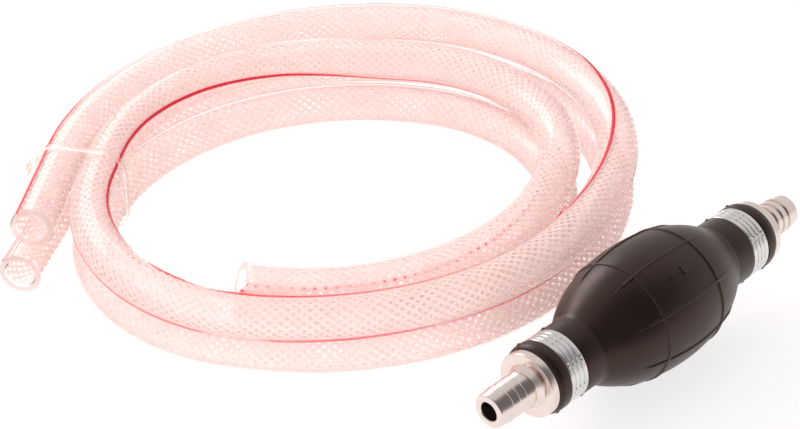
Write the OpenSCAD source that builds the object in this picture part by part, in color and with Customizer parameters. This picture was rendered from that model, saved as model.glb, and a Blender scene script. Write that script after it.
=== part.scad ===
// Hand pump for gear oil: a rubber squeeze bulb with a one-way valve and a hose barb at each end,
// and two lengths of braided clear hose, coiled together and tied, that lie beside it.
// Oil runs along +X. The pump lies level on its belly, and its axis is one belly radius above z = 0.

/* [Squeeze bulb] */
// Length of the rubber bulb between its two end faces
bulb_l = 121.8; // [116:0.2:140]
// Radius of the belly at its middle
belly_r = 24; // [21:0.5:27]
// Radius of the arc along the middle of the belly
crown_r = 80; // [65:1:100]
// Half angle of the arc along the middle of the belly
crown_half_angle = 12.5; // [8:0.5:15]
// Radius of the arcs along the shoulders of the belly
shoulder_r = 50; // [42:1:60]
// Radius of the hollow where the belly runs into the neck
neck_fillet = 4; // [2.5:0.5:6]
// Wall thickness of the belly
bulb_wall = 3.2; // [2.4:0.1:4]
// Thickness of the rubber under the ferrule
neck_wall = 3; // [2:0.1:4]
// Height of the collar behind the ferrule above the rubber under the ferrule
collar_step = 1.1; // [0.8:0.1:2]
// Height of the lip in front of the ferrule above the rubber under the ferrule
lip_step = 1.2; // [0.8:0.1:2]
// Width of the lip
lip_w = 5.7; // [4:0.1:8]
// Rounding of the outer edge of the lip
lip_round = 2.5; // [1:0.1:3]

/* [Grip ribs] */
// Number of long ribs round the belly
rib_count = 8; // [4:2:12]
// Width of a rib
rib_w = 1; // [0.6:0.1:1.6]
// Height of a rib above the belly
rib_h = 0.45; // [0.3:0.05:0.6]
// Turn of the first long rib up from the horizontal
rib_turn = 11.5; // [0:0.5:22]
// Distance of a ring rib from the middle of the bulb
ring_rib_x = 15; // [10:0.5:20]
// Distance from the middle of the bulb to the point of a long rib
rib_tip_x = 26; // [22:0.5:28]
// Length of the tapered point of a long rib
rib_point_l = 9; // [4:0.5:10]

/* [Barb fittings] */
// Radius of the passage through the fitting
port_r = 3.55; // [3:0.05:4.5]
// Radius of the tip of the barb
barb_tip_r = 6.3; // [5.8:0.1:6.6]
// Radius of the crests of the barb
barb_crest_r = 6.9; // [6.7:0.05:7.4]
// Radius between the crests
barb_root_r = 6.4; // [6.1:0.1:6.5]
// Length of the flat on each crest
barb_land = 0.6; // [0.4:0.1:1]
// Distance from the tip to the back of the first crest
barb_nose_l = 6; // [5:0.1:9]
// Distance between crests
barb_pitch = 3.4; // [2.5:0.1:5]
// Number of crests
barb_count = 4; // [2:1:6]
// Length between the last crest and the flange
barb_stub_l = 2.9; // [2.6:0.1:4]
// Radius of the foot of the barb on the flange
barb_foot_r = 8.2; // [7.2:0.1:8.6]
// Chamfer on the tip
tip_chamfer = 0.5; // [0.2:0.1:1]
// Radius of the flange
flange_r = 12.1; // [11:0.1:13]
// Thickness of the flange
flange_t = 3; // [2:0.1:5]
// Chamfer on the front edge of the flange
flange_chamfer = 0.4; // [0.2:0.1:1]
// Wall of the spigot round the valve
spigot_wall = 1.9; // [1.2:0.1:3]
// Metal between the seat of the valve and the back of the flange
spigot_floor = 1.5; // [1:0.1:3]
// Edge of the spigot that is staked over the valve
stake_l = 0.5; // [0.3:0.1:1]
// Number of gripping rings on the spigot
grip_rings = 3; // [1:1:3]
// Distance between gripping rings
grip_pitch = 2.6; // [1.6:0.1:2.8]
// Height of a gripping ring
grip_h = 0.4; // [0.2:0.1:0.8]

/* [Crimp ferrules] */
// Width of the ferrule
ferrule_w = 8.5; // [7:0.1:10]
// Thickness of the ferrule
ferrule_wall = 1; // [0.8:0.05:1.2]
// Number of crimp grooves
crimp_grooves = 3; // [1:1:3]
// Distance between crimp grooves
crimp_pitch = 2.1; // [1.6:0.1:2.2]
// Width of a crimp groove
crimp_w = 1; // [0.6:0.1:1.4]
// Depth of a crimp groove
crimp_depth = 0.4; // [0.2:0.05:0.6]
// Number of jaws that pressed the grooves
crimp_jaws = 8; // [6:1:10]
// Angle left between two jaws
jaw_gap = 6; // [3:1:12]

/* [Check valves] */
// Outer radius of the valve body
valve_r = 7; // [6.6:0.1:7.6]
// Length of the valve body
valve_l = 16; // [15:0.1:18]
// Radius of the opening that the poppet closes
orifice_r = 3.3; // [2.8:0.1:3.3]
// Length of that opening in front of the seat
orifice_l = 2; // [1.6:0.1:2.6]
// Radius of the chamber round the poppet
chamber_r = 5.6; // [5.4:0.1:5.8]
// Radius of the nose of the poppet
nose_r = 2.9; // [2.4:0.1:3]
// Radius of the head of the poppet
head_r = 4.6; // [4.4:0.1:4.8]
// Length of the head of the poppet
head_l = 3.5; // [3:0.1:4]
// Radius of the boss that guides the spring and stops the lift
boss_r = 2.8; // [2.2:0.1:3]
// Radius of the stem
stem_r = 1.5; // [1.2:0.1:1.8]
// Lift of the poppet
valve_lift = 2.5; // [1.5:0.1:3]
// Thickness of the spring retainer
retainer_t = 1.5; // [1:0.1:2]
// Width of the ledge in the chamber that the retainer seats on
retainer_ledge = 0.5; // [0.3:0.05:0.6]
// Width of the rim of the retainer
rim_w = 1.1; // [0.8:0.1:1.3]
// Number of spokes in the retainer
spoke_count = 3; // [3:1:4]
// Width of a spoke
spoke_w = 1.4; // [1:0.1:1.8]
// Outer radius of the guide in the middle of the retainer
guide_r = 3; // [2.6:0.1:3.2]
// Length of the guide in front of the spokes
guide_lead = 1.5; // [1:0.1:2.5]
// Length of the lip that the retainer snaps behind
snap_l = 1; // [0.6:0.1:1.5]
// Height of that lip
snap_h = 0.15; // [0.1:0.05:0.3]

/* [Springs and seals] */
// Mean radius of the coils of the spring
coil_r = 3.8; // [3.7:0.05:4]
// Diameter of the spring wire
wire_d = 0.6; // [0.5:0.05:0.7]
// Number of working coils
coil_count = 4; // [3:1:6]
// Thickness of the O-ring round the valve body, as pressed in its groove
o_ring_d = 1.2; // [1:0.1:1.4]
// Width of the groove of that O-ring
o_groove_w = 2; // [1.8:0.1:2.4]
// Distance of that groove from the end of the valve body
o_groove_z = 1; // [0.8:0.1:2]
// Thickness of the seal on the poppet
seal_d = 1; // [0.8:0.1:1.2]
// Radius on the cone of the poppet where the seal sits
seal_r = 4; // [3.8:0.1:4.1]
// Height of the seal above the cone
seal_stand = 0.2; // [0.1:0.05:0.25]

/* [Hoses and tie] */
// Outer diameter of the hose
hose_od = 16.5; // [15:0.1:16.8]
// Bore of the hose
hose_id = 12; // [10:0.1:13]
// Thickness of the strap of the tie
tie_t = 0.8; // [0.6:0.1:1.2]
// Width of the strap of the tie
tie_w = 2.6; // [2:0.1:4]
// Length, along the strap, of the head of the tie
tie_head_l = 5; // [4:0.1:6]
// Width of the head of the tie
tie_head_w = 4.6; // [4:0.1:6]
// Height of the head of the tie above the strap
tie_head_h = 3.2; // [2.5:0.1:5]
// Length of the cut end that stands out of the head
tie_tail_l = 1.5; // [0.5:0.1:4]

/* [Clearances] */
// Room round pieces that are pressed or seated together
seat_fit = 0.02; // [0.01:0.01:0.05]
// Room round the stem in its guide
stem_fit = 0.05; // [0.02:0.01:0.1]
// Room between the cone of the poppet and its seat
cone_gap = 0.3; // [0.2:0.05:0.4]
// Room left at the lift stop
stop_gap = 0.3; // [0.2:0.05:0.5]
// Room at each end of the spring
spring_gap = 0.06; // [0.03:0.01:0.1]
// Room between the strap of the tie and the hoses
tie_gap = 0.3; // [0.25:0.05:0.5]
// Room between the two layers of hose
layer_gap = 0.2; // [0.1:0.05:0.5]
// Lap by which neighbouring arcs of the belly cross each other
arc_lap = 0.02; // [0.01:0.01:0.05]

/* [Hidden] */
$fn = 96;

// Stations along the pump, counted from the middle of the bulb
bulb_end = bulb_l / 2;
ferrule_end = bulb_end - lip_w;
ferrule_start = ferrule_end - ferrule_w;
ferrule_middle = (ferrule_start + ferrule_end) / 2;
spigot_l = valve_l + stake_l + spigot_floor;
spigot_end = bulb_end - spigot_l;
valve_floor = bulb_end - spigot_floor;
flange_front = bulb_end + flange_t;
barb_l = barb_nose_l + (barb_count - 1) * barb_pitch + barb_stub_l;
tip = flange_front + barb_l;

// Radii that follow from the valve outwards
pocket_r = valve_r + seat_fit;
spigot_r = pocket_r + spigot_wall;
neck_bore_r = spigot_r + seat_fit;
neck_core_r = neck_bore_r + neck_wall;
neck_r = neck_core_r + collar_step;
lip_r = neck_core_r + lip_step;
ferrule_in_r = neck_core_r + seat_fit;
ferrule_out_r = ferrule_in_r + ferrule_wall;

// Centres of the arcs of the belly, as radius and station
crown_c = [belly_r - crown_r, 0];
shoulder_c = crown_c + (crown_r - shoulder_r) * [cos(crown_half_angle), sin(crown_half_angle)];
fillet_reach = shoulder_r + neck_fillet;
fillet_rise = neck_r + neck_fillet - shoulder_c[0];
fillet_c = [neck_r + neck_fillet, shoulder_c[1] + sqrt(fillet_reach * fillet_reach - fillet_rise * fillet_rise)];
fillet_dir = (fillet_c - shoulder_c) / fillet_reach;

// Stations inside a valve, counted from the end where the oil comes in
nose_z = orifice_l + nose_r - orifice_r + cone_gap * sqrt(2);
head_z = nose_z + head_r - nose_r;
back_z = nose_z + head_l;
retainer_end_z = valve_l - snap_l;
retainer_z = retainer_end_z - retainer_t;
guide_z = retainer_z - guide_lead;
boss_z = guide_z - valve_lift - stop_gap;
stem_end_z = valve_l - seat_fit;
retainer_seat_r = chamber_r + retainer_ledge;
retainer_r = retainer_seat_r - seat_fit;
seal_sink = (seal_d / 2 - seal_stand) / sqrt(2);
seal_c = [seal_r - seal_sink, nose_z + seal_r - nose_r + seal_sink];

// Places of the two hoses. Each starts at its outer end and bends to the right,
// and each bend is the straight run before it, its radius and its angle
hose_r = hose_od / 2;
lower_z = hose_r + tie_gap + tie_t;
upper_z = lower_z + hose_od + layer_gap;
upper_start = [-125.5, 191];
upper_heading = 38.5;
upper_bends = [
  [44.5, 124, 90], [0, 91.5, 90], [0, 122.5, 90], [0, 75.5, 90],
  [19.5, 87, 90], [21.5, 67, 90], [0, 97, 97.5]
];
lower_start = [-133.5, 190.5];
lower_heading = 32;
lower_bends = [
  [60, 121.5, 90], [0, 88.5, 90], [0, 117.5, 90], [5, 70.5, 90],
  [0, 103.5, 90], [2.5, 66.5, 90], [0, 85.5, 101.5]
];

// Place of the tie, and the outer and inner strands that it holds, across its own heading
tie_at = [-92, 217];
tie_heading = 32;
strand_out = 0.5;
strand_in = -17.5;

// Turns a half section, drawn as radius and station, about the axis of the pump
module turned() {
  translate([0, 0, belly_r])
    rotate([0, 90, 0])
      rotate_extrude()
        children();
}

// Moves a piece that is drawn at the outlet end to the inlet end
module at_inlet_end() {
  mirror([1, 0, 0])
    children();
}

// Puts a valve piece, drawn along +Z from its inflow end, on the axis of the pump
module in_valve(at_inlet) {
  translate([at_inlet ? -valve_floor : valve_floor - valve_l, 0, belly_r])
    rotate([0, 90, 0])
      children();
}

// Half section of the belly and the hollow where it runs into the neck, drawn in by an inset
module belly_half(inset) {
  crown_s = (crown_r - inset) * sin(crown_half_angle);
  hollow_s = shoulder_c[1] + (shoulder_r - inset) * fillet_dir[1];
  intersection() {
    translate(crown_c)
      circle(crown_r - inset);
    square([crown_r, crown_s]);
  }
  intersection() {
    translate(shoulder_c)
      circle(shoulder_r - inset + arc_lap);
    square([crown_r, fillet_c[1]]);
  }
  difference() {
    translate([0, hollow_s])
      square([fillet_c[0], fillet_c[1] - hollow_s]);
    translate(fillet_c - [arc_lap, 0])
      circle(neck_fillet + inset);
  }
}

// One end of the neck: the collar, the seat of the ferrule and the rounded lip
module neck_half() {
  square([neck_r, ferrule_start]);
  square([neck_core_r, bulb_end]);
  translate([0, ferrule_end]) {
    square([lip_r, lip_w - lip_round]);
    square([lip_r - lip_round, lip_w]);
    translate([lip_r - lip_round, lip_w - lip_round])
      intersection() {
        circle(lip_round);
        square(lip_round);
      }
  }
}

// Saw-tooth rings that keep the spigot in the rubber, from the flange inwards on a given radius
function grip_points(base_r) = [
  for (i = [0 : grip_rings])
    let (step = ferrule_middle + (grip_rings / 2 - i) * grip_pitch)
      each i < grip_rings
        ? [
            [base_r, step],
            [base_r + grip_h, step],
            [base_r + grip_h, step - grip_pitch / 4]
          ]
        : [[base_r, step]]
];

// Space inside the bulb: the oil chamber and the two neck bores
module bulb_hollow_half() {
  intersection() {
    union() {
      belly_half(bulb_wall);
      square([neck_r - bulb_wall, bulb_end]);
    }
    square([crown_r, spigot_end]);
  }
  polygon(concat(
    [
      [0, 0],
      [0, bulb_end],
      [neck_bore_r, bulb_end]
    ],
    grip_points(neck_bore_r),
    [[neck_bore_r, 0]]
  ));
}

// Draws a half section at both ends of the bulb
module both_ends() {
  children();
  mirror([0, 1])
    children();
}

// Long ribs and ring ribs, as slabs through the whole bulb
module rib_slabs() {
  reach = belly_r + bulb_wall;
  for (i = [0 : rib_count / 2 - 1])
    rotate([rib_turn + i * 360 / rib_count, 0, 0])
      rotate([90, 0, 0])
        linear_extrude(2 * reach, center = true)
          polygon([
            [-rib_tip_x, 0],
            [rib_point_l - rib_tip_x, rib_w / 2],
            [rib_tip_x - rib_point_l, rib_w / 2],
            [rib_tip_x, 0],
            [rib_tip_x - rib_point_l, -rib_w / 2],
            [rib_point_l - rib_tip_x, -rib_w / 2]
          ]);
  for (x = [-ring_rib_x, ring_rib_x])
    translate([x - rib_w / 2, 0, 0])
      rotate([0, 90, 0])
        cylinder(r = reach, h = rib_w);
}

module squeeze_bulb() {
  color("#2b2523") {
    turned()
      both_ends()
        difference() {
          union() {
            belly_half(0);
            neck_half();
          }
          bulb_hollow_half();
        }
    intersection() {
      turned()
        both_ends()
          difference() {
            belly_half(-rib_h);
            belly_half(bulb_wall / 2);
          }
      translate([0, 0, belly_r])
        rib_slabs();
    }
  }
}

// Turned fitting: hose barb, flange, and a spigot that holds the valve inside the bulb
module barb_fitting() {
  barbs = [
    for (i = [0 : barb_count - 1])
      let (crest = tip - barb_nose_l - i * barb_pitch)
        each [
          [barb_crest_r, crest + barb_land],
          [barb_crest_r, crest],
          [barb_root_r, crest]
        ]
  ];
  color("#d9d5d2")
    turned()
      difference() {
        polygon(concat(
          [
            [0, tip],
            [barb_tip_r - tip_chamfer, tip],
            [barb_tip_r, tip - tip_chamfer]
          ],
          barbs,
          [
            [barb_root_r, flange_front + barb_foot_r - barb_root_r],
            [barb_foot_r, flange_front],
            [flange_r - flange_chamfer, flange_front],
            [flange_r, flange_front - flange_chamfer],
            [flange_r, bulb_end],
            [spigot_r, bulb_end]
          ],
          grip_points(spigot_r),
          [
            [spigot_r, spigot_end],
            [0, spigot_end]
          ]
        ));
        square([port_r, tip]);
        translate([0, spigot_end])
          square([pocket_r, valve_floor - spigot_end]);
      }
}

module inlet_barb_fitting() {
  at_inlet_end()
    barb_fitting();
}

module outlet_barb_fitting() {
  barb_fitting();
}

// Pressed metal band with crimp grooves that stop short between the jaws
module crimp_ferrule() {
  color("#c9c7c6")
    difference() {
      turned()
        translate([ferrule_in_r, ferrule_start + seat_fit])
          square([ferrule_wall, ferrule_w - 2 * seat_fit]);
      translate([0, 0, belly_r])
        rotate([0, 90, 0])
          for (j = [0 : crimp_jaws - 1])
            rotate([0, 0, j * 360 / crimp_jaws])
              rotate_extrude(angle = 360 / crimp_jaws - jaw_gap)
                for (i = [0 : crimp_grooves - 1])
                  translate([
                    ferrule_out_r - crimp_depth,
                    ferrule_middle + (i - (crimp_grooves - 1) / 2) * crimp_pitch - crimp_w / 2
                  ])
                    square([2 * crimp_depth, crimp_w]);
    }
}

module inlet_crimp_ferrule() {
  at_inlet_end()
    crimp_ferrule();
}

module outlet_crimp_ferrule() {
  crimp_ferrule();
}

// Valve cartridge: a conical seat, the chamber of the poppet and a snap lip for the retainer
module valve_body() {
  color("#e4e0d6")
    rotate_extrude()
      difference() {
        square([valve_r, valve_l]);
        polygon([
          [0, 0],
          [orifice_r, 0],
          [orifice_r, orifice_l],
          [chamber_r, orifice_l + chamber_r - orifice_r],
          [chamber_r, retainer_z],
          [retainer_seat_r, retainer_z],
          [retainer_seat_r, retainer_end_z],
          [retainer_seat_r - snap_h, retainer_end_z],
          [retainer_seat_r - snap_h, valve_l],
          [0, valve_l]
        ]);
        translate([valve_r - o_ring_d, o_groove_z])
          square([2 * o_ring_d, o_groove_w]);
      }
}

module inlet_valve_body() {
  in_valve(true)
    valve_body();
}

module outlet_valve_body() {
  in_valve(false)
    valve_body();
}

// O-ring that seals the valve body in the pocket of the fitting
module body_o_ring() {
  color("#1c1a19")
    rotate_extrude()
      translate([valve_r - o_ring_d / 2, o_groove_z + o_groove_w / 2])
        circle(o_ring_d / 2 - seat_fit);
}

module inlet_body_o_ring() {
  in_valve(true)
    body_o_ring();
}

module outlet_body_o_ring() {
  in_valve(false)
    body_o_ring();
}

// Poppet: a cone that closes the seat, with a stem that slides in the retainer
module poppet() {
  color("#b7b1a2")
    rotate_extrude()
      difference() {
        polygon([
          [0, nose_z],
          [nose_r, nose_z],
          [head_r, head_z],
          [head_r, back_z],
          [boss_r, back_z],
          [boss_r, boss_z],
          [stem_r, boss_z],
          [stem_r, stem_end_z],
          [0, stem_end_z]
        ]);
        translate(seal_c)
          circle(seal_d / 2 + seat_fit);
      }
}

module inlet_poppet() {
  in_valve(true)
    poppet();
}

module outlet_poppet() {
  in_valve(false)
    poppet();
}

// Rubber ring in the cone of the poppet, which meets the seat first
module poppet_seal() {
  color("#1c1a19")
    rotate_extrude()
      translate(seal_c)
        circle(seal_d / 2);
}

module inlet_poppet_seal() {
  in_valve(true)
    poppet_seal();
}

module outlet_poppet_seal() {
  in_valve(false)
    poppet_seal();
}

// Compression spring with one closed coil at each end
module valve_spring() {
  sides = 8;
  steps = 16;
  turns = coil_count + 2;
  close_pitch = wire_d + spring_gap;
  low = back_z + spring_gap + wire_d / 2;
  high = retainer_z - spring_gap - wire_d / 2;
  open_pitch = (high - low - 2 * close_pitch) / coil_count;
  rings = turns * steps;
  function rise(t) = t < 1
    ? close_pitch * t
    : t < turns - 1
      ? close_pitch + open_pitch * (t - 1)
      : high - low - close_pitch * (turns - t);
  points = [
    for (k = [0 : rings], m = [0 : sides - 1])
      let (
        a = 360 * k / steps,
        b = 360 * m / sides,
        r = coil_r + wire_d / 2 * cos(b)
      )
        [r * cos(a), r * sin(a), low + rise(k / steps) + wire_d / 2 * sin(b)]
  ];
  walls = [
    for (k = [0 : rings - 1], m = [0 : sides - 1])
      let (n = (m + 1) % sides)
        [k * sides + m, (k + 1) * sides + m, (k + 1) * sides + n, k * sides + n]
  ];
  first_cap = [[for (m = [0 : sides - 1]) m]];
  last_cap = [[for (m = [sides - 1 : -1 : 0]) rings * sides + m]];
  color("#9d9a96")
    polyhedron(points, concat(walls, first_cap, last_cap));
}

module inlet_valve_spring() {
  in_valve(true)
    valve_spring();
}

module outlet_valve_spring() {
  in_valve(false)
    valve_spring();
}

// Spoked ring that carries the spring and guides the stem
module spring_retainer() {
  guide_bore_r = stem_r + stem_fit;
  spoke_start = (guide_bore_r + guide_r) / 2;
  spoke_end = retainer_r - rim_w / 2;
  color("#e4e0d6") {
    rotate_extrude() {
      translate([retainer_r - rim_w, retainer_z])
        square([rim_w, retainer_t]);
      translate([guide_bore_r, guide_z])
        square([guide_r - guide_bore_r, retainer_end_z - guide_z]);
    }
    for (i = [0 : spoke_count - 1])
      rotate([0, 0, i * 360 / spoke_count])
        translate([spoke_start, -spoke_w / 2, retainer_z])
          cube([spoke_end - spoke_start, spoke_w, retainer_t]);
  }
}

module inlet_spring_retainer() {
  in_valve(true)
    spring_retainer();
}

module outlet_spring_retainer() {
  in_valve(false)
    spring_retainer();
}

// Ring section of a hose, with its outer side towards +X
module hose_section() {
  difference() {
    circle(hose_r);
    circle(hose_id / 2);
  }
}

// Bends of a hose one after another, each turning right from where the last one ended
module hose_bends(bends, i = 0) {
  if (i < len(bends)) {
    run = bends[i][0];
    r = bends[i][1];
    a = bends[i][2];
    if (run > 0)
      rotate([90, 0, 90])
        linear_extrude(run)
          hose_section();
    translate([run, -r, 0])
      rotate([0, 0, 90])
        mirror([0, 1, 0])
          rotate_extrude(angle = a)
            translate([r, 0])
              hose_section();
    translate([run + r * sin(a), r * cos(a) - r, 0])
      rotate([0, 0, -a])
        hose_bends(bends, i + 1);
  }
}

// One hose from its outer end
module hose(start, z, heading, bends) {
  color("#f2ddd6")
    translate([start[0], start[1], z])
      rotate([0, 0, heading])
        hose_bends(bends);
}

module suction_hose() {
  hose(lower_start, lower_z, lower_heading, lower_bends);
}

module delivery_hose() {
  hose(upper_start, upper_z, upper_heading, upper_bends);
}

// Outline round the four strands in the tie, some room outside them
module strand_outline(room) {
  round_r = hose_r + room;
  for (x = [strand_in, strand_out], z = [lower_z, upper_z])
    translate([x, z])
      circle(round_r);
  translate([strand_in - round_r, lower_z])
    square([strand_out - strand_in + 2 * round_r, upper_z - lower_z]);
  translate([strand_in, lower_z - round_r])
    square([strand_out - strand_in, upper_z - lower_z + 2 * round_r]);
}

// Cable tie round both hoses, with its head on the outer side and its tail cut short
module hose_tie() {
  strap_face = strand_out + hose_r + tie_gap;
  head_start = upper_z - tie_head_l;
  color("#f4efe9")
    translate([tie_at[0], tie_at[1], 0])
      rotate([0, 0, tie_heading])
        rotate([90, 0, 90]) {
          linear_extrude(tie_w, center = true)
            difference() {
              strand_outline(tie_gap + tie_t);
              strand_outline(tie_gap);
            }
          linear_extrude(tie_head_w, center = true)
            translate([strap_face, head_start])
              square([tie_t + tie_head_h, tie_head_l]);
          linear_extrude(tie_w, center = true)
            translate([strap_face, head_start + (tie_head_l - tie_t) / 2])
              square([tie_t + tie_head_h + tie_tail_l, tie_t]);
        }
}

squeeze_bulb();
inlet_barb_fitting();
outlet_barb_fitting();
inlet_crimp_ferrule();
outlet_crimp_ferrule();
inlet_valve_body();
outlet_valve_body();
inlet_body_o_ring();
outlet_body_o_ring();
inlet_poppet();
outlet_poppet();
inlet_poppet_seal();
outlet_poppet_seal();
inlet_valve_spring();
outlet_valve_spring();
inlet_spring_retainer();
outlet_spring_retainer();
suction_hose();
delivery_hose();
hose_tie();
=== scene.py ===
from math import acos, asin, atan2, cos, hypot, pi, radians, sin, sqrt, tau

import bmesh
import bpy
from mathutils import Matrix, Vector


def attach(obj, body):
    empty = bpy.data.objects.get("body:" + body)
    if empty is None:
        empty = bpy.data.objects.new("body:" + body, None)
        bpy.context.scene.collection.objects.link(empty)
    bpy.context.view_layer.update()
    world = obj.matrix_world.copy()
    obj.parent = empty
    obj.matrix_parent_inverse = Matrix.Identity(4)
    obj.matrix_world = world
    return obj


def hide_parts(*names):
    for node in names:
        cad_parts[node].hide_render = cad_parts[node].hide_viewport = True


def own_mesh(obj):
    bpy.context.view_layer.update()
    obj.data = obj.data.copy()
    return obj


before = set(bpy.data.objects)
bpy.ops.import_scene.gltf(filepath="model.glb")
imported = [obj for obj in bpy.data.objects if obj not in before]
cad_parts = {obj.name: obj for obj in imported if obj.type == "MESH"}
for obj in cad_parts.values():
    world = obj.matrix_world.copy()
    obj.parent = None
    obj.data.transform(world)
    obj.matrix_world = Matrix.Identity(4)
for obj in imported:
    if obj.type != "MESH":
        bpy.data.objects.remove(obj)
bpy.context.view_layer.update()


# Squeeze bulb: one moulding of black nitrile rubber, shaped over a core, with grip ribs
# and an arrow for the flow raised on its belly. A collar at each end seats a crimped
# ferrule, and a round lip beyond it closes on the flange of the fitting.
MM = 0.001
axis_z = 24.0
bulb_end = 60.9
belly_r, crown_r, crown_half = 24.0, 80.0, radians(12.5)
shoulder_r, neck_fillet = 50.0, 4.0
neck_r, neck_core_r, neck_bore_r = 13.04, 11.94, 8.94
ferrule_start, ferrule_end = 46.7, 55.2
lip_r, lip_round, edge_round = 13.14, 2.5, 0.35
bulb_wall, chamber_rise, skin_depth, spigot_end = 3.2, 0.4, 1.0, 42.9
rib_count, rib_w, rib_h, rib_phase, rib_crowding = 8, 1.2, 0.48, radians(11.5), 0.8
ring_rib_x, rib_tip_x, rib_point_l = 15.0, 26.0, 9.0
arrow_at, arrow_h, arrow_root, arrow_round = radians(122), 0.4, 0.6, 0.2
arrow_half_l, arrow_head_x, arrow_head_half, arrow_shaft_half = 5.0, 1.6, 1.6, 0.5
nib_at, nib_r, nib_sink, nib_stretch = radians(225), 0.65, 0.2, 1.5
nib_lip_x, nib_collar_x = 58.0, 45.6
round_steps, soft_angle = 256, radians(40)
bloom_size, grit_size, grit_depth = 18.0, 0.7, 0.2
rubber_deep, rubber_worn, rubber_sheen = "#140d0b", "#201512", "#f2c9bf"


def linear(colour):
    """An sRGB hex colour as linear light."""
    parts = [int(colour[i:i + 2], 16) / 255 for i in (1, 3, 5)]
    return [p / 12.92 if p <= 0.04045 else ((p + 0.055) / 1.055) ** 2.4 for p in parts] + [1.0]


def start_material(name):
    """Starts a material, and gives it with its node tree and its shader."""
    material = bpy.data.materials.new(name)
    material.use_nodes = True
    return material, material.node_tree, material.node_tree.nodes["Principled BSDF"]


def add_node(tree, kind, inputs=(), **settings):
    """Adds a node with its settings, and sets or links its inputs."""
    node = tree.nodes.new(kind)
    for name, value in settings.items():
        setattr(node, name, value)
    for socket, value in dict(inputs).items():
        if isinstance(value, bpy.types.NodeSocket):
            tree.links.new(value, node.inputs[socket])
        else:
            node.inputs[socket].default_value = value
    return node


def draw_line(bm, vert, x, r):
    """Carries the half section on in a straight line to station x and radius r."""
    end = bmesh.ops.extrude_vert_indiv(bm, verts=[vert])["verts"][0]
    end.co = (x, 0, r)
    return end


def draw_arc(bm, vert, centre, turn, steps):
    """Carries the half section on round a centre, given as station and radius."""
    x, r = centre
    swept = bmesh.ops.spin(bm, geom=[vert], cent=(x, 0, r), axis=(0, 1, 0), angle=turn, steps=steps)
    return swept["geom_last"][0]


def turn_section(bm, steps):
    """Turns the drawn half section once about the axis of the pump."""
    section = bm.verts[:] + bm.edges[:]
    bmesh.ops.spin(bm, geom=section, cent=(0, 0, 0), axis=(1, 0, 0), angle=tau, steps=steps, use_merge=True)


def link_object(name, data):
    """Puts a mesh, a curve, a lamp or a camera in the scene."""
    obj = bpy.data.objects.new(name, data)
    bpy.context.scene.collection.objects.link(obj)
    return obj


def add_piece(name, bm, materials, node):
    """Makes a piece in a node's place of a mesh drawn in millimetres, smooth at its soft edges."""
    bmesh.ops.recalc_face_normals(bm, faces=bm.faces)
    bmesh.ops.scale(bm, vec=Vector.Fill(3, MM), verts=bm.verts)
    mesh = bpy.data.meshes.new(name)
    bm.to_mesh(mesh)
    bm.free()
    mesh.shade_smooth()
    mesh.set_sharp_from_angle(angle=soft_angle)
    for material in materials:
        mesh.materials.append(material)
    obj = link_object(name, mesh)
    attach(obj, "pump")
    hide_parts(node)
    return obj


# Moulded nitrile rubber: nearly black with a warm brown cast, satin from a fine blasted
# mould, with faint cloudy bloom where talc and oil have dried on it.
rubber, tree, shader = start_material("moulded_nitrile_rubber")
shader.inputs["Specular IOR Level"].default_value = 0.7
shader.inputs["Specular Tint"].default_value = linear(rubber_sheen)
place = add_node(tree, "ShaderNodeTexCoord").outputs["Object"]
bloom = add_node(tree, "ShaderNodeTexNoise", {
    "Vector": place, "Scale": 1 / (bloom_size * MM), "Detail": 5, "Roughness": 0.6})
tint = add_node(tree, "ShaderNodeMix", {
    "Factor": bloom.outputs["Fac"], "A": linear(rubber_deep), "B": linear(rubber_worn)}, data_type="RGBA")
tree.links.new(tint.outputs["Result"], shader.inputs["Base Color"])
haze = add_node(tree, "ShaderNodeMapRange", {
    "Value": bloom.outputs["Fac"], "From Min": 0.3, "From Max": 0.7, "To Min": 0.33, "To Max": 0.43})
tree.links.new(haze.outputs["Result"], shader.inputs["Roughness"])
grit = add_node(tree, "ShaderNodeTexNoise", {"Vector": place, "Scale": 1 / (grit_size * MM), "Detail": 2})
blast = add_node(tree, "ShaderNodeBump", {
    "Height": grit.outputs["Fac"], "Strength": 0.08, "Distance": grit_depth * MM})
tree.links.new(blast.outputs["Normal"], shader.inputs["Normal"])

# The belly is three arcs in a row, each tangent to the next: crown, shoulder and fillet
crown_c = (0.0, belly_r - crown_r)
shoulder_in = crown_r - shoulder_r
shoulder_c = (shoulder_in * sin(crown_half), crown_c[1] + shoulder_in * cos(crown_half))
fillet_rise = neck_r + neck_fillet - shoulder_c[1]
fillet_run = sqrt((shoulder_r + neck_fillet) ** 2 - fillet_rise ** 2)
fillet_c = (shoulder_c[0] + fillet_run, neck_r + neck_fillet)
shoulder_end = acos(fillet_rise / (shoulder_r + neck_fillet))
chamber_end = shoulder_c[0] + (shoulder_r - bulb_wall) * sin(shoulder_end)

bm = bmesh.new()
vert = bm.verts.new((0, 0, belly_r))
ring_from, ring_to = asin((ring_rib_x - rib_w) / crown_r), asin((ring_rib_x + rib_w) / crown_r)
vert = draw_arc(bm, vert, crown_c, ring_from, steps=16)
vert = draw_arc(bm, vert, crown_c, ring_to - ring_from, steps=18)
vert = draw_arc(bm, vert, crown_c, crown_half - ring_to, steps=2)
vert = draw_arc(bm, vert, shoulder_c, shoulder_end - crown_half, steps=40)
vert = draw_arc(bm, vert, fillet_c, -shoulder_end, steps=12)
vert = draw_line(bm, vert, ferrule_start - edge_round, neck_r)
vert = draw_arc(bm, vert, (ferrule_start - edge_round, neck_r - edge_round), pi / 2, steps=4)
vert = draw_line(bm, vert, ferrule_start, neck_core_r)
vert = draw_line(bm, vert, ferrule_end, neck_core_r)
vert = draw_line(bm, vert, ferrule_end, lip_r - edge_round)
vert = draw_arc(bm, vert, (ferrule_end + edge_round, lip_r - edge_round), pi / 2, steps=4)
vert = draw_line(bm, vert, bulb_end - lip_round, lip_r)
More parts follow.
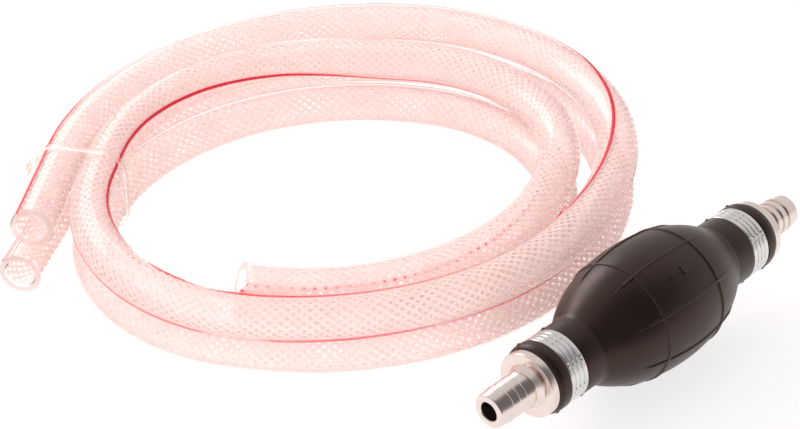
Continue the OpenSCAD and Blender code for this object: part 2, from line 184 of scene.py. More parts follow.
vert = draw_arc(bm, vert, (bulb_end - lip_round, lip_r - lip_round), pi / 2, steps=8)
vert = draw_line(bm, vert, bulb_end, neck_bore_r)
vert = draw_line(bm, vert, spigot_end, neck_bore_r)
vert = draw_line(bm, vert, spigot_end, neck_r - bulb_wall)
vert = draw_line(bm, vert, chamber_end, neck_r - bulb_wall + chamber_rise)
vert = draw_arc(bm, vert, shoulder_c, crown_half - shoulder_end, steps=12)
draw_line(bm, vert, 0, belly_r - bulb_wall)
bmesh.ops.mirror(bm, geom=bm.verts[:] + bm.edges[:], merge_dist=0.001, axis="X")
turn_section(bm, round_steps)

# The rounds are drawn together at each rib, and the ribs then rise from the outer skin
for vert in bm.verts:
    x, r, round_at = vert.co.x, hypot(vert.co.y, vert.co.z), atan2(vert.co.z, vert.co.y)
    round_at -= rib_crowding * sin(rib_count * (round_at - rib_phase)) / rib_count
    off_rib = abs((round_at - rib_phase + pi / rib_count) % (tau / rib_count) - pi / rib_count) * r
    point = min(1.0, max(0.0, (rib_tip_x - abs(x)) / rib_point_l))
    along = 1 - (2 * off_rib / (rib_w * point)) ** 4 if point else 0
    around = 1 - (2 * (abs(x) - ring_rib_x) / rib_w) ** 4
    if hypot(abs(x) - shoulder_c[0], r - shoulder_c[1]) > shoulder_r - skin_depth:
        r += rib_h * max(0, along * min(1, 2 * point), around)
    vert.co = (x, r * cos(round_at), r * sin(round_at))

# The arrow is drawn flat as station, way round and height, and then bent on to the belly
outline = (
    (-arrow_half_l, -arrow_shaft_half), (arrow_head_x, -arrow_shaft_half), (arrow_head_x, -arrow_head_half),
    (arrow_half_l, 0),
    (arrow_head_x, arrow_head_half), (arrow_head_x, arrow_shaft_half), (-arrow_half_l, arrow_shaft_half),
)
arrow = bm.faces.new([bm.verts.new((x, y, -arrow_root)) for x, y in outline])
bmesh.ops.subdivide_edges(bm, edges=arrow.edges[:], cuts=3)
lower = arrow.verts[:]
grown = bmesh.ops.extrude_face_region(bm, geom=[arrow], use_keep_orig=True)["geom"]
raised = [g for g in grown if isinstance(g, bmesh.types.BMVert)]
bmesh.ops.translate(bm, vec=(0, 0, arrow_root + arrow_h), verts=raised)
rim = [edge for vert in raised for edge in vert.link_edges if edge.other_vert(vert) in raised]
rounded = bmesh.ops.bevel(
    bm, geom=list(dict.fromkeys(rim)), offset=arrow_round, segments=3, profile=0.5, affect="EDGES",
    material=-1)["verts"]
for vert in dict.fromkeys(lower + rounded):
    x, y, h = vert.co
    r = sqrt(crown_r ** 2 - x ** 2) + crown_c[1] + h
    vert.co = (x, r * cos(arrow_at + y / belly_r), r * sin(arrow_at + y / belly_r))

# Small nibs are left where the two halves of the mould met, on each lip and collar
for x, r in ((nib_lip_x, lip_r), (-nib_lip_x, lip_r), (nib_collar_x, neck_r), (-nib_collar_x, neck_r)):
    for at in (nib_at, nib_at - pi):
        on_skin = Matrix.Translation((x, (r - nib_sink) * cos(at), (r - nib_sink) * sin(at)))
        nib = on_skin @ Matrix.Diagonal((nib_stretch, 1, 1, 1))
        bmesh.ops.create_uvsphere(bm, u_segments=16, v_segments=10, radius=nib_r, matrix=nib)
bmesh.ops.translate(bm, vec=(0, 0, axis_z), verts=bm.verts)
add_piece("squeeze_bulb_moulding", bm, [rubber], "squeeze_bulb")


# Barb fittings: one at each end, turned from aluminium bar, with four barbs for the hose,
# a coned foot on a flange against the lip of the bulb, and a bored spigot that the neck grips.
tip, flange_front = 83.0, 63.9
port_r, barb_tip_r, barb_crest_r, barb_root_r, barb_foot_r = 3.55, 6.3, 6.9, 6.4, 8.2
barb_nose_l, barb_pitch, barb_land, barb_count = 6.0, 3.4, 0.6, 4
crest_fall, crest_edge, port_chamfer = 0.04, 0.08, 0.3
flange_r, flange_chamfer, tip_round = 12.1, 0.4, 0.8
spigot_r, pocket_r, valve_floor = 8.92, 7.02, 59.4
turning_steps = 128
tool_ring_size, tool_ring_depth, scuff_size = 0.4, 0.1, 4.0
waves_round_bar = 12
bar_dull, bar_bright = "#e2d3cc", "#f3e7e1"

# Turned aluminium: bright and slightly warm, with the fine rings that the tool leaves
# round the axis, which stretch its reflections, and a few handling scuffs in its colour.
aluminium, tree, shader = start_material("turned_aluminium")
shader.inputs["Metallic"].default_value = 1.0
shader.inputs["Anisotropic"].default_value = 0.55
place = add_node(tree, "ShaderNodeTexCoord").outputs["Object"]
rings_at = add_node(tree, "ShaderNodeMapping", {
    "Vector": place, "Scale": (1 / (tool_ring_size * MM), waves_round_bar, waves_round_bar)})
rings = add_node(tree, "ShaderNodeTexNoise", {
    "Vector": rings_at.outputs["Vector"], "Scale": 1, "Detail": 3})
scuffs = add_node(tree, "ShaderNodeTexNoise", {"Vector": place, "Scale": 1 / (scuff_size * MM), "Detail": 4})
tint = add_node(tree, "ShaderNodeMix", {
    "Factor": scuffs.outputs["Fac"], "A": linear(bar_dull), "B": linear(bar_bright)}, data_type="RGBA")
tree.links.new(tint.outputs["Result"], shader.inputs["Base Color"])
gloss = add_node(tree, "ShaderNodeMapRange", {
    "Value": rings.outputs["Fac"], "To Min": 0.14, "To Max": 0.26})
tree.links.new(gloss.outputs["Result"], shader.inputs["Roughness"])
tool_marks = add_node(tree, "ShaderNodeBump", {
    "Height": rings.outputs["Fac"], "Strength": 0.10, "Distance": tool_ring_depth * MM})
tree.links.new(tool_marks.outputs["Normal"], shader.inputs["Normal"])
lathe_way = add_node(tree, "ShaderNodeTangent", direction_type="RADIAL", axis="X")
tree.links.new(lathe_way.outputs["Tangent"], shader.inputs["Tangent"])

for end, side in (("inlet", -1), ("outlet", 1)):
    bm = bmesh.new()
    vert = first = bm.verts.new((tip, 0, port_r + port_chamfer))
    vert = draw_line(bm, vert, tip, barb_tip_r - tip_round)
    vert = draw_arc(bm, vert, (tip - tip_round, barb_tip_r - tip_round), -pi / 2, steps=8)
    for i in range(barb_count):
        crest = tip - barb_nose_l - i * barb_pitch
        vert = draw_line(bm, vert, crest + barb_land, barb_crest_r - crest_fall)
        vert = draw_line(bm, vert, crest + barb_land / 2, barb_crest_r)
        vert = draw_line(bm, vert, crest + crest_edge, barb_crest_r - crest_fall)
        vert = draw_line(bm, vert, crest, barb_root_r)
    vert = draw_line(bm, vert, flange_front + barb_foot_r - barb_root_r, barb_root_r)
    vert = draw_line(bm, vert, flange_front, barb_foot_r)
    vert = draw_line(bm, vert, flange_front, flange_r - flange_chamfer)
    vert = draw_arc(bm, vert, (flange_front - flange_chamfer, flange_r - flange_chamfer), -pi / 2, steps=5)
    vert = draw_line(bm, vert, bulb_end, flange_r)
    vert = draw_line(bm, vert, bulb_end, spigot_r)
    vert = draw_line(bm, vert, spigot_end, spigot_r)
    vert = draw_line(bm, vert, spigot_end, pocket_r)
    vert = draw_line(bm, vert, valve_floor, pocket_r)
    vert = draw_line(bm, vert, valve_floor, port_r)
    vert = draw_line(bm, vert, tip - port_chamfer, port_r)
    bm.edges.new((vert, first))
    turn_section(bm, turning_steps)
    bmesh.ops.scale(bm, vec=(side, 1, 1), verts=bm.verts)
    bmesh.ops.translate(bm, vec=(0, 0, axis_z), verts=bm.verts)
    add_piece(end + "_barb_turning", bm, [aluminium], end + "_barb_fitting")


# Crimp ferrules: bands of bright zinc-plated steel, pressed on the neck by a crimping tool
# whose jaws leave three rows of grooves with a bridge between one jaw and the next.
ferrule_in_r, ferrule_out_r = 11.96, 12.96
band_play, band_round, band_steps = 0.05, 0.3, 240
crimp_grooves, crimp_pitch, crimp_w, crimp_depth = 3, 2.1, 1.0, 0.4
crimp_jaws, jaw_gap = 8, radians(6)
bridge_inset, bridge_low = 0.5, 0.1
grain_size, waves_round_band = 0.5, 30
zinc_grey, zinc_bright = "#cfcfcf", "#ecebea"

# Bright zinc plate: cool silver, glossy, with a fine drawn grain round the band.
zinc, tree, shader = start_material("bright_zinc_plate")
shader.inputs["Metallic"].default_value = 1.0
place = add_node(tree, "ShaderNodeTexCoord").outputs["Object"]
grain_at = add_node(tree, "ShaderNodeMapping", {
    "Vector": place, "Scale": (1 / (grain_size * MM), waves_round_band, waves_round_band)})
grain = add_node(tree, "ShaderNodeTexNoise", {
    "Vector": grain_at.outputs["Vector"], "Scale": 1, "Detail": 4})
tint = add_node(tree, "ShaderNodeMix", {
    "Factor": grain.outputs["Fac"], "A": linear(zinc_grey), "B": linear(zinc_bright)}, data_type="RGBA")
tree.links.new(tint.outputs["Result"], shader.inputs["Base Color"])
gloss = add_node(tree, "ShaderNodeMapRange", {
    "Value": grain.outputs["Fac"], "To Min": 0.12, "To Max": 0.26})
tree.links.new(gloss.outputs["Result"], shader.inputs["Roughness"])

# The section of one groove, in shares of its width and of its depth
groove_section = ((-0.55, 0), (-0.45, 0.3), (-0.32, 1), (0.32, 1), (0.45, 0.3), (0.55, 0))
band_middle = (ferrule_start + ferrule_end) / 2
band_start, band_end = ferrule_start + band_play, ferrule_end - band_play
band_round_r = ferrule_out_r - band_round

for end, side in (("inlet", -1), ("outlet", 1)):
    bm = bmesh.new()
    vert = first = bm.verts.new((band_start, 0, ferrule_in_r))
    vert = draw_line(bm, vert, band_start, band_round_r)
    vert = draw_arc(bm, vert, (band_start + band_round, band_round_r), pi / 2, steps=4)
    for i in range(crimp_grooves):
        groove = band_middle + (i - (crimp_grooves - 1) / 2) * crimp_pitch
        for step, depth in groove_section:
            vert = draw_line(bm, vert, groove + step * crimp_w, ferrule_out_r - depth * crimp_depth)
    vert = draw_line(bm, vert, band_end - band_round, ferrule_out_r)
    vert = draw_arc(bm, vert, (band_end - band_round, band_round_r), pi / 2, steps=4)
    vert = draw_line(bm, vert, band_end, ferrule_in_r)
    bm.edges.new((vert, first))
    turn_section(bm, band_steps)
    for vert in bm.verts:
        r, jaw_at = hypot(vert.co.y, vert.co.z), atan2(-vert.co.y, -vert.co.z) % (tau / crimp_jaws)
        between_jaws = abs(jaw_at - (tau / crimp_jaws - jaw_gap / 2)) < jaw_gap / 2
        off_rims = ferrule_start + bridge_inset < vert.co.x < ferrule_end - bridge_inset
        if between_jaws and off_rims and r > ferrule_in_r + bridge_low:
            vert.co.yz = Vector(vert.co.yz) * (ferrule_out_r / r)
    bmesh.ops.scale(bm, vec=(side, 1, 1), verts=bm.verts)
    bmesh.ops.translate(bm, vec=(0, 0, axis_z), verts=bm.verts)
    add_piece(end + "_ferrule_band", bm, [zinc], end + "_crimp_ferrule")


# Check valve bodies and spring retainers: moulded of natural acetal and pressed into the
# spigot of each fitting. The retainer snaps into the end of the body and holds the spring.
flow_size, acetal_depth = 5.0, 2.0
acetal_pale, acetal_warm = "#d8d3c6", "#e6e1d5"


def finish_node(node, material):
    """Gives a node of the frame its material."""
    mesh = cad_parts[node].data
    mesh.materials.clear()
    mesh.materials.append(material)


# Natural acetal: waxy off-white with faint flow clouds from the gate and a soft low gloss.
acetal, tree, shader = start_material("natural_acetal")
shader.inputs["Subsurface Weight"].default_value = 0.15
shader.inputs["Subsurface Scale"].default_value = acetal_depth * MM
place = add_node(tree, "ShaderNodeTexCoord").outputs["Object"]
flow = add_node(tree, "ShaderNodeTexNoise", {"Vector": place, "Scale": 1 / (flow_size * MM), "Detail": 4})
tint = add_node(tree, "ShaderNodeMix", {
    "Factor": flow.outputs["Fac"], "A": linear(acetal_pale), "B": linear(acetal_warm)}, data_type="RGBA")
tree.links.new(tint.outputs["Result"], shader.inputs["Base Color"])
gloss = add_node(tree, "ShaderNodeMapRange", {"Value": flow.outputs["Fac"], "To Min": 0.34, "To Max": 0.5})
tree.links.new(gloss.outputs["Result"], shader.inputs["Roughness"])

for end in ("inlet", "outlet"):
    finish_node(end + "_valve_body", acetal)
    finish_node(end + "_spring_retainer", acetal)


# Seals: an O-ring round each valve body and a ring in the groove of each poppet, moulded of
# soft black nitrile and slightly greasy with assembly oil.
film_size = 3.0
seal_black, seal_worn = "#0f0e0e", "#1d1b1a"

# Oiled nitrile: black, with uneven gloss where the oil film lies.
nitrile, tree, shader = start_material("oiled_nitrile")
place = add_node(tree, "ShaderNodeTexCoord").outputs["Object"]
film = add_node(tree, "ShaderNodeTexNoise", {"Vector": place, "Scale": 1 / (film_size * MM), "Detail": 4})
tint = add_node(tree, "ShaderNodeMix", {
    "Factor": film.outputs["Fac"], "A": linear(seal_black), "B": linear(seal_worn)}, data_type="RGBA")
tree.links.new(tint.outputs["Result"], shader.inputs["Base Color"])
gloss = add_node(tree, "ShaderNodeMapRange", {"Value": film.outputs["Fac"], "To Min": 0.22, "To Max": 0.5})
tree.links.new(gloss.outputs["Result"], shader.inputs["Roughness"])

for end in ("inlet", "outlet"):
    finish_node(end + "_body_o_ring", nitrile)
    finish_node(end + "_poppet_seal", nitrile)


# Poppets: moulded of a tan filled acetal. The coned head closes the orifice with its seal,
# and the stem slides in the guide of the retainer.
speckle_size = 0.6
poppet_dark, poppet_light = "#9c9280", "#b0a692"

# Filled acetal: tan, matt, with a fine speckle of the filler.
filled_acetal, tree, shader = start_material("filled_acetal")
place = add_node(tree, "ShaderNodeTexCoord").outputs["Object"]
speckle = add_node(tree, "ShaderNodeTexNoise", {
    "Vector": place, "Scale": 1 / (speckle_size * MM), "Detail": 3})
tint = add_node(tree, "ShaderNodeMix", {
    "Factor": speckle.outputs["Fac"], "A": linear(poppet_dark), "B": linear(poppet_light)}, data_type="RGBA")
tree.links.new(tint.outputs["Result"], shader.inputs["Base Color"])
gloss = add_node(tree, "ShaderNodeMapRange", {
    "Value": speckle.outputs["Fac"], "To Min": 0.42, "To Max": 0.58})
tree.links.new(gloss.outputs["Result"], shader.inputs["Roughness"])

for end in ("inlet", "outlet"):
    finish_node(end + "_poppet", filled_acetal)


# Valve springs: coiled of drawn stainless wire with a flat coil at each end. One end stands
# on the retainer, and the poppet presses the other when the valve lifts.
coil_r, wire_d, free_coils, end_coil = 3.8, 0.6, 2.5, 0.75
coil_steps, wire_sides = 48, 12
spring_ends = {"inlet": (-53.82, -45.96), "outlet": (48.98, 56.84)}
die_mark_size = 0.8
wire_grey, wire_bright = "#b8b6b3", "#d4d2cf"

# Drawn stainless wire: grey and bright, with fine marks that the die leaves.
wire, tree, shader = start_material("drawn_stainless_wire")
shader.inputs["Metallic"].default_value = 1.0
place = add_node(tree, "ShaderNodeTexCoord").outputs["Object"]
die_marks = add_node(tree, "ShaderNodeTexNoise", {
    "Vector": place, "Scale": 1 / (die_mark_size * MM), "Detail": 3})
tint = add_node(tree, "ShaderNodeMix", {
    "Factor": die_marks.outputs["Fac"], "A": linear(wire_grey), "B": linear(wire_bright)}, data_type="RGBA")
tree.links.new(tint.outputs["Result"], shader.inputs["Base Color"])
gloss = add_node(tree, "ShaderNodeMapRange", {
    "Value": die_marks.outputs["Fac"], "To Min": 0.2, "To Max": 0.34})
tree.links.new(gloss.outputs["Result"], shader.inputs["Roughness"])

for end, (start, stop) in spring_ends.items():
    bm = bmesh.new()
    at = Matrix.Translation((start + wire_d / 2, 0, coil_r)) @ Matrix.Rotation(pi / 2, 4, "X")
    bmesh.ops.create_circle(bm, segments=wire_sides, radius=wire_d / 2, matrix=at)
    cut_ends = [bm.edges[:]]
    section = bm.verts[:] + bm.edges[:]
    for coils, rise in ((end_coil, 0), (free_coils, stop - start - wire_d), (end_coil, 0)):
        steps = round(coils * coil_steps)
        section = bmesh.ops.spin(
            bm, geom=section, cent=(0, 0, 0), axis=(1, 0, 0), dvec=(rise / steps, 0, 0),
            angle=coils * tau, steps=steps)["geom_last"]
    cut_ends.append([g for g in section if isinstance(g, bmesh.types.BMEdge)])
    for cut in cut_ends:
        bmesh.ops.edgeloop_fill(bm, edges=cut)
    bmesh.ops.translate(bm, vec=(0, 0, axis_z), verts=bm.verts)
    spring = add_piece(end + "_spring_coil", bm, [wire], end + "_valve_spring")
    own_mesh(spring)


# Suction and delivery hoses: two lengths of clear soft PVC hose, extruded over a braid of
# polyester yarn, with a red tracer stripe let into the skin. They lie wound together in a
# coil, the delivery hose on the suction hose, and end in bare cuts.
hose_od, hose_id, hose_sides = 16.5, 12.0, 48
station_step, rounding = 3.0, 1e-6
braid_r, yarn_w, yarn_t, layer_rise = 7.0, 1.2, 0.26, 0.6
yarns_each_way, yarn_pitch = 14, 3.9
stripe_w, stripe_t, stripe_stand = 1.5, 0.44, 0.04
ripple_size, blade_mark_size, soak_size, streak_size = 6.0, 1.2, 12.0, 9.0
pvc_pink, pvc_clear = "#fff8f8", "#fffbfb"
cut_pink, cut_pale = "#ffe4df", "#ffefeb"
yarn_pink, yarn_pale = "#f7e3df", "#fcedea"
tracer_deep, tracer_light = "#f01634", "#fc2c46"
up = Vector((0, 0, 1))

# Each route is the centreline of the part's own solid: a start, a heading, and for each bend
# the straight run before it, its radius and its angle. The stripe is given by runs from the
# outer end, each with its way round the hose, in degrees from the outside of the bend upwards.
routes = {
    "delivery_hose": {
        "start": (-125.5, 191.0, 26.05), "heading": 38.5, "carries": ["hose_tie"],
        "bends": [(44.5, 124.0, 90), (0, 91.5, 90), (0, 122.5, 90), (0, 75.5, 90), (19.5, 87.0, 90),
                  (21.5, 67.0, 90), (0, 97.0, 97.5)],
        "stripe": [(0, 50), (40, 58), (90, 48), (300, 50), (322, 58), (340, 78), (380, 106), (420, 128),
                   (450, 146), (540, 145), (575, 150), (600, 168), (625, 166), (645, 153), (670, 142),
                   (700, 144), (740, 156), (780, 174), (820, 198), (845, 222), (870, 236), (930, 232),
                   (1000, 222), (1142, 215)],
    },
    "suction_hose": {
        "start": (-133.5, 190.5, 9.35), "heading": 32.0, "carries": [],
        "bends": [(60.0, 121.5, 90), (0, 88.5, 90), (0, 117.5, 90), (5.0, 70.5, 90), (0, 103.5, 90),
                  (2.5, 66.5, 90), (0, 85.5, 101.5)],
        "stripe": [(0, 42), (80, 40), (200, 45), (330, 50), (430, 70), (640, 76), (740, 46), (900, 46),
                   (1000, 76), (1112, 78)],
    },
}


def reach(at, way, curve, run):
    """The point at a run along one stretch of a hose, and the way out of the bend there."""
    out_first, out = (Vector((-sin(way - turn), cos(way - turn), 0)) for turn in (0, run * curve))
    if curve:
        return at + (out - out_first) / curve, out
    return at + run * Vector((cos(way), sin(way), 0)), out


def hose_stations(route):
    """Even stations along a hose: the run from its outer end, the point, and the way out of the bend."""
    stretches = []
    for run, r, turn in route["bends"]:
        stretches += [(run, 0)] * (run > 0) + [(r * radians(turn), 1 / r)]
    total = sum(run for run, _ in stretches)
    count = round(total / station_step)
    at, way, done, stations = Vector(route["start"]), radians(route["heading"]), 0.0, []
    for run, curve in stretches:
        while len(stations) <= count and len(stations) * total / count <= done + run + rounding:
            on = len(stations) * total / count - done
            stations.append((done + on, *reach(at, way, curve, on)))
        at, way, done = reach(at, way, curve, run)[0], way - run * curve, done + run
    return stations


def wind_strand(stations, turns, r):
    """A strand at radius r on a hose, turned as given at each station: its points and faces."""
    faces = [cos(turn) * out + sin(turn) * up for turn, (_, _, out) in zip(turns, stations)]
    return [point + r * face for face, (_, point, _) in zip(faces, stations)], faces


def add_strands(name, strands, width, thick, material):
    """Makes one piece of flat strands, each a row of points and of the ways that its face looks."""
    curve = bpy.data.curves.new(name, "CURVE")
    curve.dimensions = "3D"
    curve.twist_mode = "Z_UP"
    curve.bevel_depth = thick / 2 * MM
    curve.extrude = (width - thick) / 2 * MM
    curve.bevel_resolution = 0
    curve.use_fill_caps = True
    for points, faces in strands:
        spline = curve.splines.new("POLY")
        spline.points.add(len(points) - 1)
        spline.points.foreach_set("co", [c for p in points for c in (*(p * MM), 1.0)])
        befores, afters = points[:1] + points, points[1:] + points[-1:]
        for knot, before, after, face in zip(spline.points, befores, afters, faces):
            along = (after - before).normalized()
            upright = up - along.z * along
            across = along.cross(face)
            knot.tilt = atan2(across.dot(along.cross(upright)), across.dot(upright))
    drawn = link_object(name + "_line", curve)
    bpy.context.view_layer.update()
    mesh = bpy.data.meshes.new_from_object(drawn.evaluated_get(bpy.context.evaluated_depsgraph_get()))
    bpy.data.objects.remove(drawn)
    mesh.name = name
    mesh.shade_smooth()
    mesh.materials.clear()
    mesh.materials.append(material)
    obj = link_object(name, mesh)
    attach(obj, "pump")
    return obj


# Clear plasticised PVC: see-through with a very faint pink cast, and a soft gloss on its skin
# that ripples as the die leaves it. Its index is low, chosen for clear edges.
clear_pvc, tree, shader = start_material("clear_plasticised_pvc")
shader.inputs["Transmission Weight"].default_value = 0.92
shader.inputs["IOR"].default_value = 1.03
shader.inputs["Coat Weight"].default_value = 0.4
shader.inputs["Coat Roughness"].default_value = 0.08
place = add_node(tree, "ShaderNodeTexCoord").outputs["Object"]
ripple = add_node(tree, "ShaderNodeTexNoise", {"Vector": place, "Scale": 1 / (ripple_size * MM), "Detail": 3})
tint = add_node(tree, "ShaderNodeMix", {
    "Factor": ripple.outputs["Fac"], "A": linear(pvc_pink), "B": linear(pvc_clear)}, data_type="RGBA")
tree.links.new(tint.outputs["Result"], shader.inputs["Base Color"])
gloss = add_node(tree, "ShaderNodeMapRange", {
    "Value": ripple.outputs["Fac"], "To Min": 0.02, "To Max": 0.10})
tree.links.new(gloss.outputs["Result"], shader.inputs["Roughness"])

# Cut PVC: the same compound where the blade has frosted it, on the rings at the ends.
cut_pvc, tree, shader = start_material("frosted_cut_pvc")
shader.inputs["Transmission Weight"].default_value = 0.45
shader.inputs["IOR"].default_value = 1.03
place = add_node(tree, "ShaderNodeTexCoord").outputs["Object"]
blade = add_node(tree, "ShaderNodeTexNoise", {
    "Vector": place, "Scale": 1 / (blade_mark_size * MM), "Detail": 3})
tint = add_node(tree, "ShaderNodeMix", {
    "Factor": blade.outputs["Fac"], "A": linear(cut_pink), "B": linear(cut_pale)}, data_type="RGBA")
tree.links.new(tint.outputs["Result"], shader.inputs["Base Color"])
gloss = add_node(tree, "ShaderNodeMapRange", {
    "Value": blade.outputs["Fac"], "To Min": 0.45, "To Max": 0.65})
tree.links.new(gloss.outputs["Result"], shader.inputs["Roughness"])

# Polyester yarn: flat white filaments, soaked and tinted by the PVC, so that light passes.
yarn, tree, shader = start_material("polyester_yarn")
shader.inputs["Roughness"].default_value = 0.4
shader.inputs["Transmission Weight"].default_value = 0.66
shader.inputs["IOR"].default_value = 1.03
place = add_node(tree, "ShaderNodeTexCoord").outputs["Object"]
soak = add_node(tree, "ShaderNodeTexNoise", {"Vector": place, "Scale": 1 / (soak_size * MM), "Detail": 3})
tint = add_node(tree, "ShaderNodeMix", {
    "Factor": soak.outputs["Fac"], "A": linear(yarn_pink), "B": linear(yarn_pale)}, data_type="RGBA")
tree.links.new(tint.outputs["Result"], shader.inputs["Base Color"])

# Red tracer: a stripe of pigmented PVC laid into the skin as the hose is extruded, with faint
# streaks in its red.
tracer_red, tree, shader = start_material("pigmented_pvc_tracer")
shader.inputs["Roughness"].default_value = 0.4
place = add_node(tree, "ShaderNodeTexCoord").outputs["Object"]
streak = add_node(tree, "ShaderNodeTexNoise", {"Vector": place, "Scale": 1 / (streak_size * MM), "Detail": 2})
tint = add_node(tree, "ShaderNodeMix", {
    "Factor": streak.outputs["Fac"], "A": linear(tracer_deep), "B": linear(tracer_light)}, data_type="RGBA")
tree.links.new(tint.outputs["Result"], shader.inputs["Base Color"])

for node, route in routes.items():
    # The wall is two circles carried along the route, and a frosted ring closes each end.
    # Light passes through the wall and the yarn, so neither casts a shadow.
    bm = bmesh.new()
    at, way = Vector(route["start"]), radians(route["heading"])
    stand = Matrix.Translation(at) @ Matrix.Rotation(way, 4, "Z") @ Matrix.Rotation(pi / 2, 4, "Y")
    for wall_r in (hose_od / 2, hose_id / 2):
        bmesh.ops.create_circle(bm, segments=hose_sides, radius=wall_r, matrix=stand)
    cut_ends = [bm.edges[:]]
    section = bm.verts[:] + bm.edges[:]
    for run, r, turn in route["bends"]:
        on = run * Vector((cos(way), sin(way), 0))
        if run:
            section = bmesh.ops.spin(
                bm, geom=section, cent=at, axis=(0, 0, 1), dvec=on, angle=0, steps=1)["geom_last"]
        centre = at + on + r * Vector((sin(way), -cos(way), 0))
        section = bmesh.ops.spin(
            bm, geom=section, cent=centre, axis=(0, 0, -1), angle=radians(turn),
            steps=round(r * radians(turn) / station_step))["geom_last"]
        way -= radians(turn)
        at = centre + r * Vector((-sin(way), cos(way), 0))
    cut_ends.append([g for g in section if isinstance(g, bmesh.types.BMEdge)])
    for cut in cut_ends:
        for face in bmesh.ops.bridge_loops(bm, edges=cut)["faces"]:
            face.material_index = 1
    wall = add_piece(node + "_wall", bm, [clear_pvc, cut_pvc], node)
    wall.visible_shadow = False

    # The braid is two layers of flat yarns, wound against each other
    stations = hose_stations(route)
    covered = stations[1:-1]
    lead = yarns_each_way * yarn_pitch
    strands = []
    for lay in (1, -1):
        for k in range(yarns_each_way):
            turns = [lay * tau * run / lead + tau * k / yarns_each_way for run, _, _ in covered]
            strands.append(wind_strand(covered, turns, braid_r + layer_rise * lay * yarn_t))
    braid = add_strands(node + "_braid", strands, yarn_w, yarn_t, yarn)
    braid.visible_shadow = False

    # The tracer turns evenly from each run of the stripe to the next
    turns = []
    for run, _, _ in stations:
        parts = zip(route["stripe"], route["stripe"][1:])
        (run_a, turn_a), (run_b, turn_b) = [(a, b) for a, b in parts if a[0] <= run][-1]
        turns.append(radians(turn_a + (turn_b - turn_a) * (run - run_a) / (run_b - run_a)))
    strand = wind_strand(stations, turns, hose_od / 2 + stripe_stand - stripe_t / 2)
    tracer = add_strands(node + "_tracer", [strand], stripe_w, stripe_t, tracer_red)


# Hose tie: a cable tie of natural nylon, pulled round the strands near the outer ends of the
# hoses, with its head on the outer side and its tail cut short.
cloud_size = 8.0
tie_pale, tie_deep = "#fff8f5", "#fcebe5"

# Natural nylon: cloudy and see-through when thin, smooth from the mould. Light passes through
# so thin a strap, so it casts no shadow.
nylon, tree, shader = start_material("natural_nylon")
shader.inputs["Transmission Weight"].default_value = 0.85
shader.inputs["IOR"].default_value = 1.12
place = add_node(tree, "ShaderNodeTexCoord").outputs["Object"]
cloud = add_node(tree, "ShaderNodeTexNoise", {"Vector": place, "Scale": 1 / (cloud_size * MM), "Detail": 3})
tint = add_node(tree, "ShaderNodeMix", {
    "Factor": cloud.outputs["Fac"], "A": linear(tie_deep), "B": linear(tie_pale)}, data_type="RGBA")
tree.links.new(tint.outputs["Result"], shader.inputs["Base Color"])
gloss = add_node(tree, "ShaderNodeMapRange", {"Value": cloud.outputs["Fac"], "To Min": 0.2, "To Max": 0.34})
tree.links.new(gloss.outputs["Result"], shader.inputs["Roughness"])
finish_node("hose_tie", nylon)
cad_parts["hose_tie"].visible_shadow = False


# Stage: a white sheet that the set lies on, white walls of light round it with a dim opening
# on the camera's side, and a camera with the place and lens fitted to the photograph.
sheet_half, sheet_lift = 6.0, 0.72
sheet_white, wall_white = "#b9b5b3", "#fffbfa"
wall_level, opening_level = 0.76, 0.16
opening_way, opening_from, opening_to = Vector((-0.15, -0.7, 0.7)).normalized(), 0.56, 0.74
lamp_aim = Vector((0, 0.1, 0.02))
lamps = (
    ("back_panel", (0.05, 0.8, 0.4), (0.7, 0.3), 2.7, True),
    ("front_fill", (-1.15, -0.9, 0.45), (1.2, 0.8), 9.0, False),
)
camera_at, camera_down, camera_way = (-0.48085, -0.34959, 0.46886), 34.631, 44.470
sensor_w, lens = 36.0, 93.44

bm = bmesh.new()
bmesh.ops.create_grid(bm, x_segments=1, y_segments=1, size=sheet_half)
mesh = bpy.data.meshes.new("floor")
bm.to_mesh(mesh)
bm.free()
floor = link_object("floor", mesh)

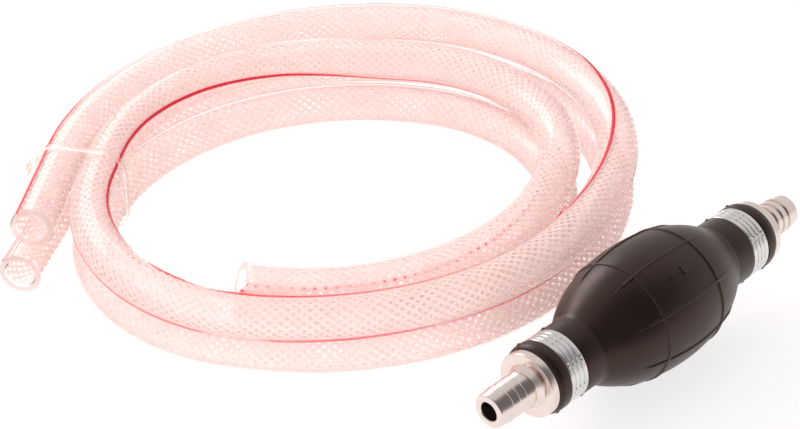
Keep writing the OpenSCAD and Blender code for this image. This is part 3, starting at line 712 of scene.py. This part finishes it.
# White paper sheet: matt, and lifted to white for the eye, in reflections and through clear
# pieces, but not as light on the set.
paper, tree, shader = start_material("white_backdrop_sheet")
shader.inputs["Base Color"].default_value = linear(sheet_white)
shader.inputs["Roughness"].default_value = 0.8
shader.inputs["Specular IOR Level"].default_value = 0.1
shader.inputs["Emission Color"].default_value = (1, 1, 1, 1)
ray = add_node(tree, "ShaderNodeLightPath")
seen = add_node(tree, "ShaderNodeMath", {
    0: ray.outputs["Is Camera Ray"], 1: ray.outputs["Is Glossy Ray"]}, operation="MAXIMUM")
seen = add_node(tree, "ShaderNodeMath", {
    0: seen.outputs[0], 1: ray.outputs["Is Transmission Ray"]}, operation="MAXIMUM")
lift = add_node(tree, "ShaderNodeMath", {0: seen.outputs[0], 1: sheet_lift}, operation="MULTIPLY")
tree.links.new(lift.outputs[0], shader.inputs["Emission Strength"])
mesh.materials.append(paper)

# The walls are the world: white to the eye and through clear pieces, and dimmer as light
world = bpy.data.worlds.new("studio")
bpy.context.scene.world = world
world.use_nodes = True
tree = world.node_tree
ray = add_node(tree, "ShaderNodeLightPath")
backdrop = tree.nodes["Background"]
toward = add_node(tree, "ShaderNodeTexCoord").outputs["Generated"]
opening = add_node(tree, "ShaderNodeVectorMath", {0: toward, 1: opening_way}, operation="DOT_PRODUCT")
dim = add_node(tree, "ShaderNodeMapRange", {
    "Value": opening.outputs["Value"], "From Min": opening_from, "From Max": opening_to,
    "To Min": wall_level, "To Max": opening_level}, interpolation_type="SMOOTHSTEP")
level = add_node(tree, "ShaderNodeMath", {
    0: dim.outputs["Result"], 1: ray.outputs["Is Camera Ray"]}, operation="MAXIMUM")
level = add_node(tree, "ShaderNodeMath", {
    0: level.outputs[0], 1: ray.outputs["Is Transmission Ray"]}, operation="MAXIMUM")
tree.links.new(level.outputs[0], backdrop.inputs["Strength"])
backdrop.inputs["Color"].default_value = linear(wall_white)

for name, lamp_at, size, power, shows in lamps:
    lamp = bpy.data.lights.new(name, "AREA")
    lamp.shape = "RECTANGLE"
    lamp.size, lamp.size_y = size
    lamp.energy = power
    obj = link_object(name, lamp)
    obj.location = lamp_at
    obj.rotation_euler = (lamp_aim - Vector(lamp_at)).to_track_quat("-Z", "Y").to_euler()
    obj.visible_glossy = shows

camera = bpy.data.cameras.new("camera")
camera.sensor_width = sensor_w
camera.lens = lens
view = link_object("camera", camera)
view.location = camera_at
view.rotation_euler = (radians(90 - camera_down), 0, radians(camera_way - 90))
bpy.context.scene.camera = view
bpy.context.scene.view_settings.view_transform = "Standard"
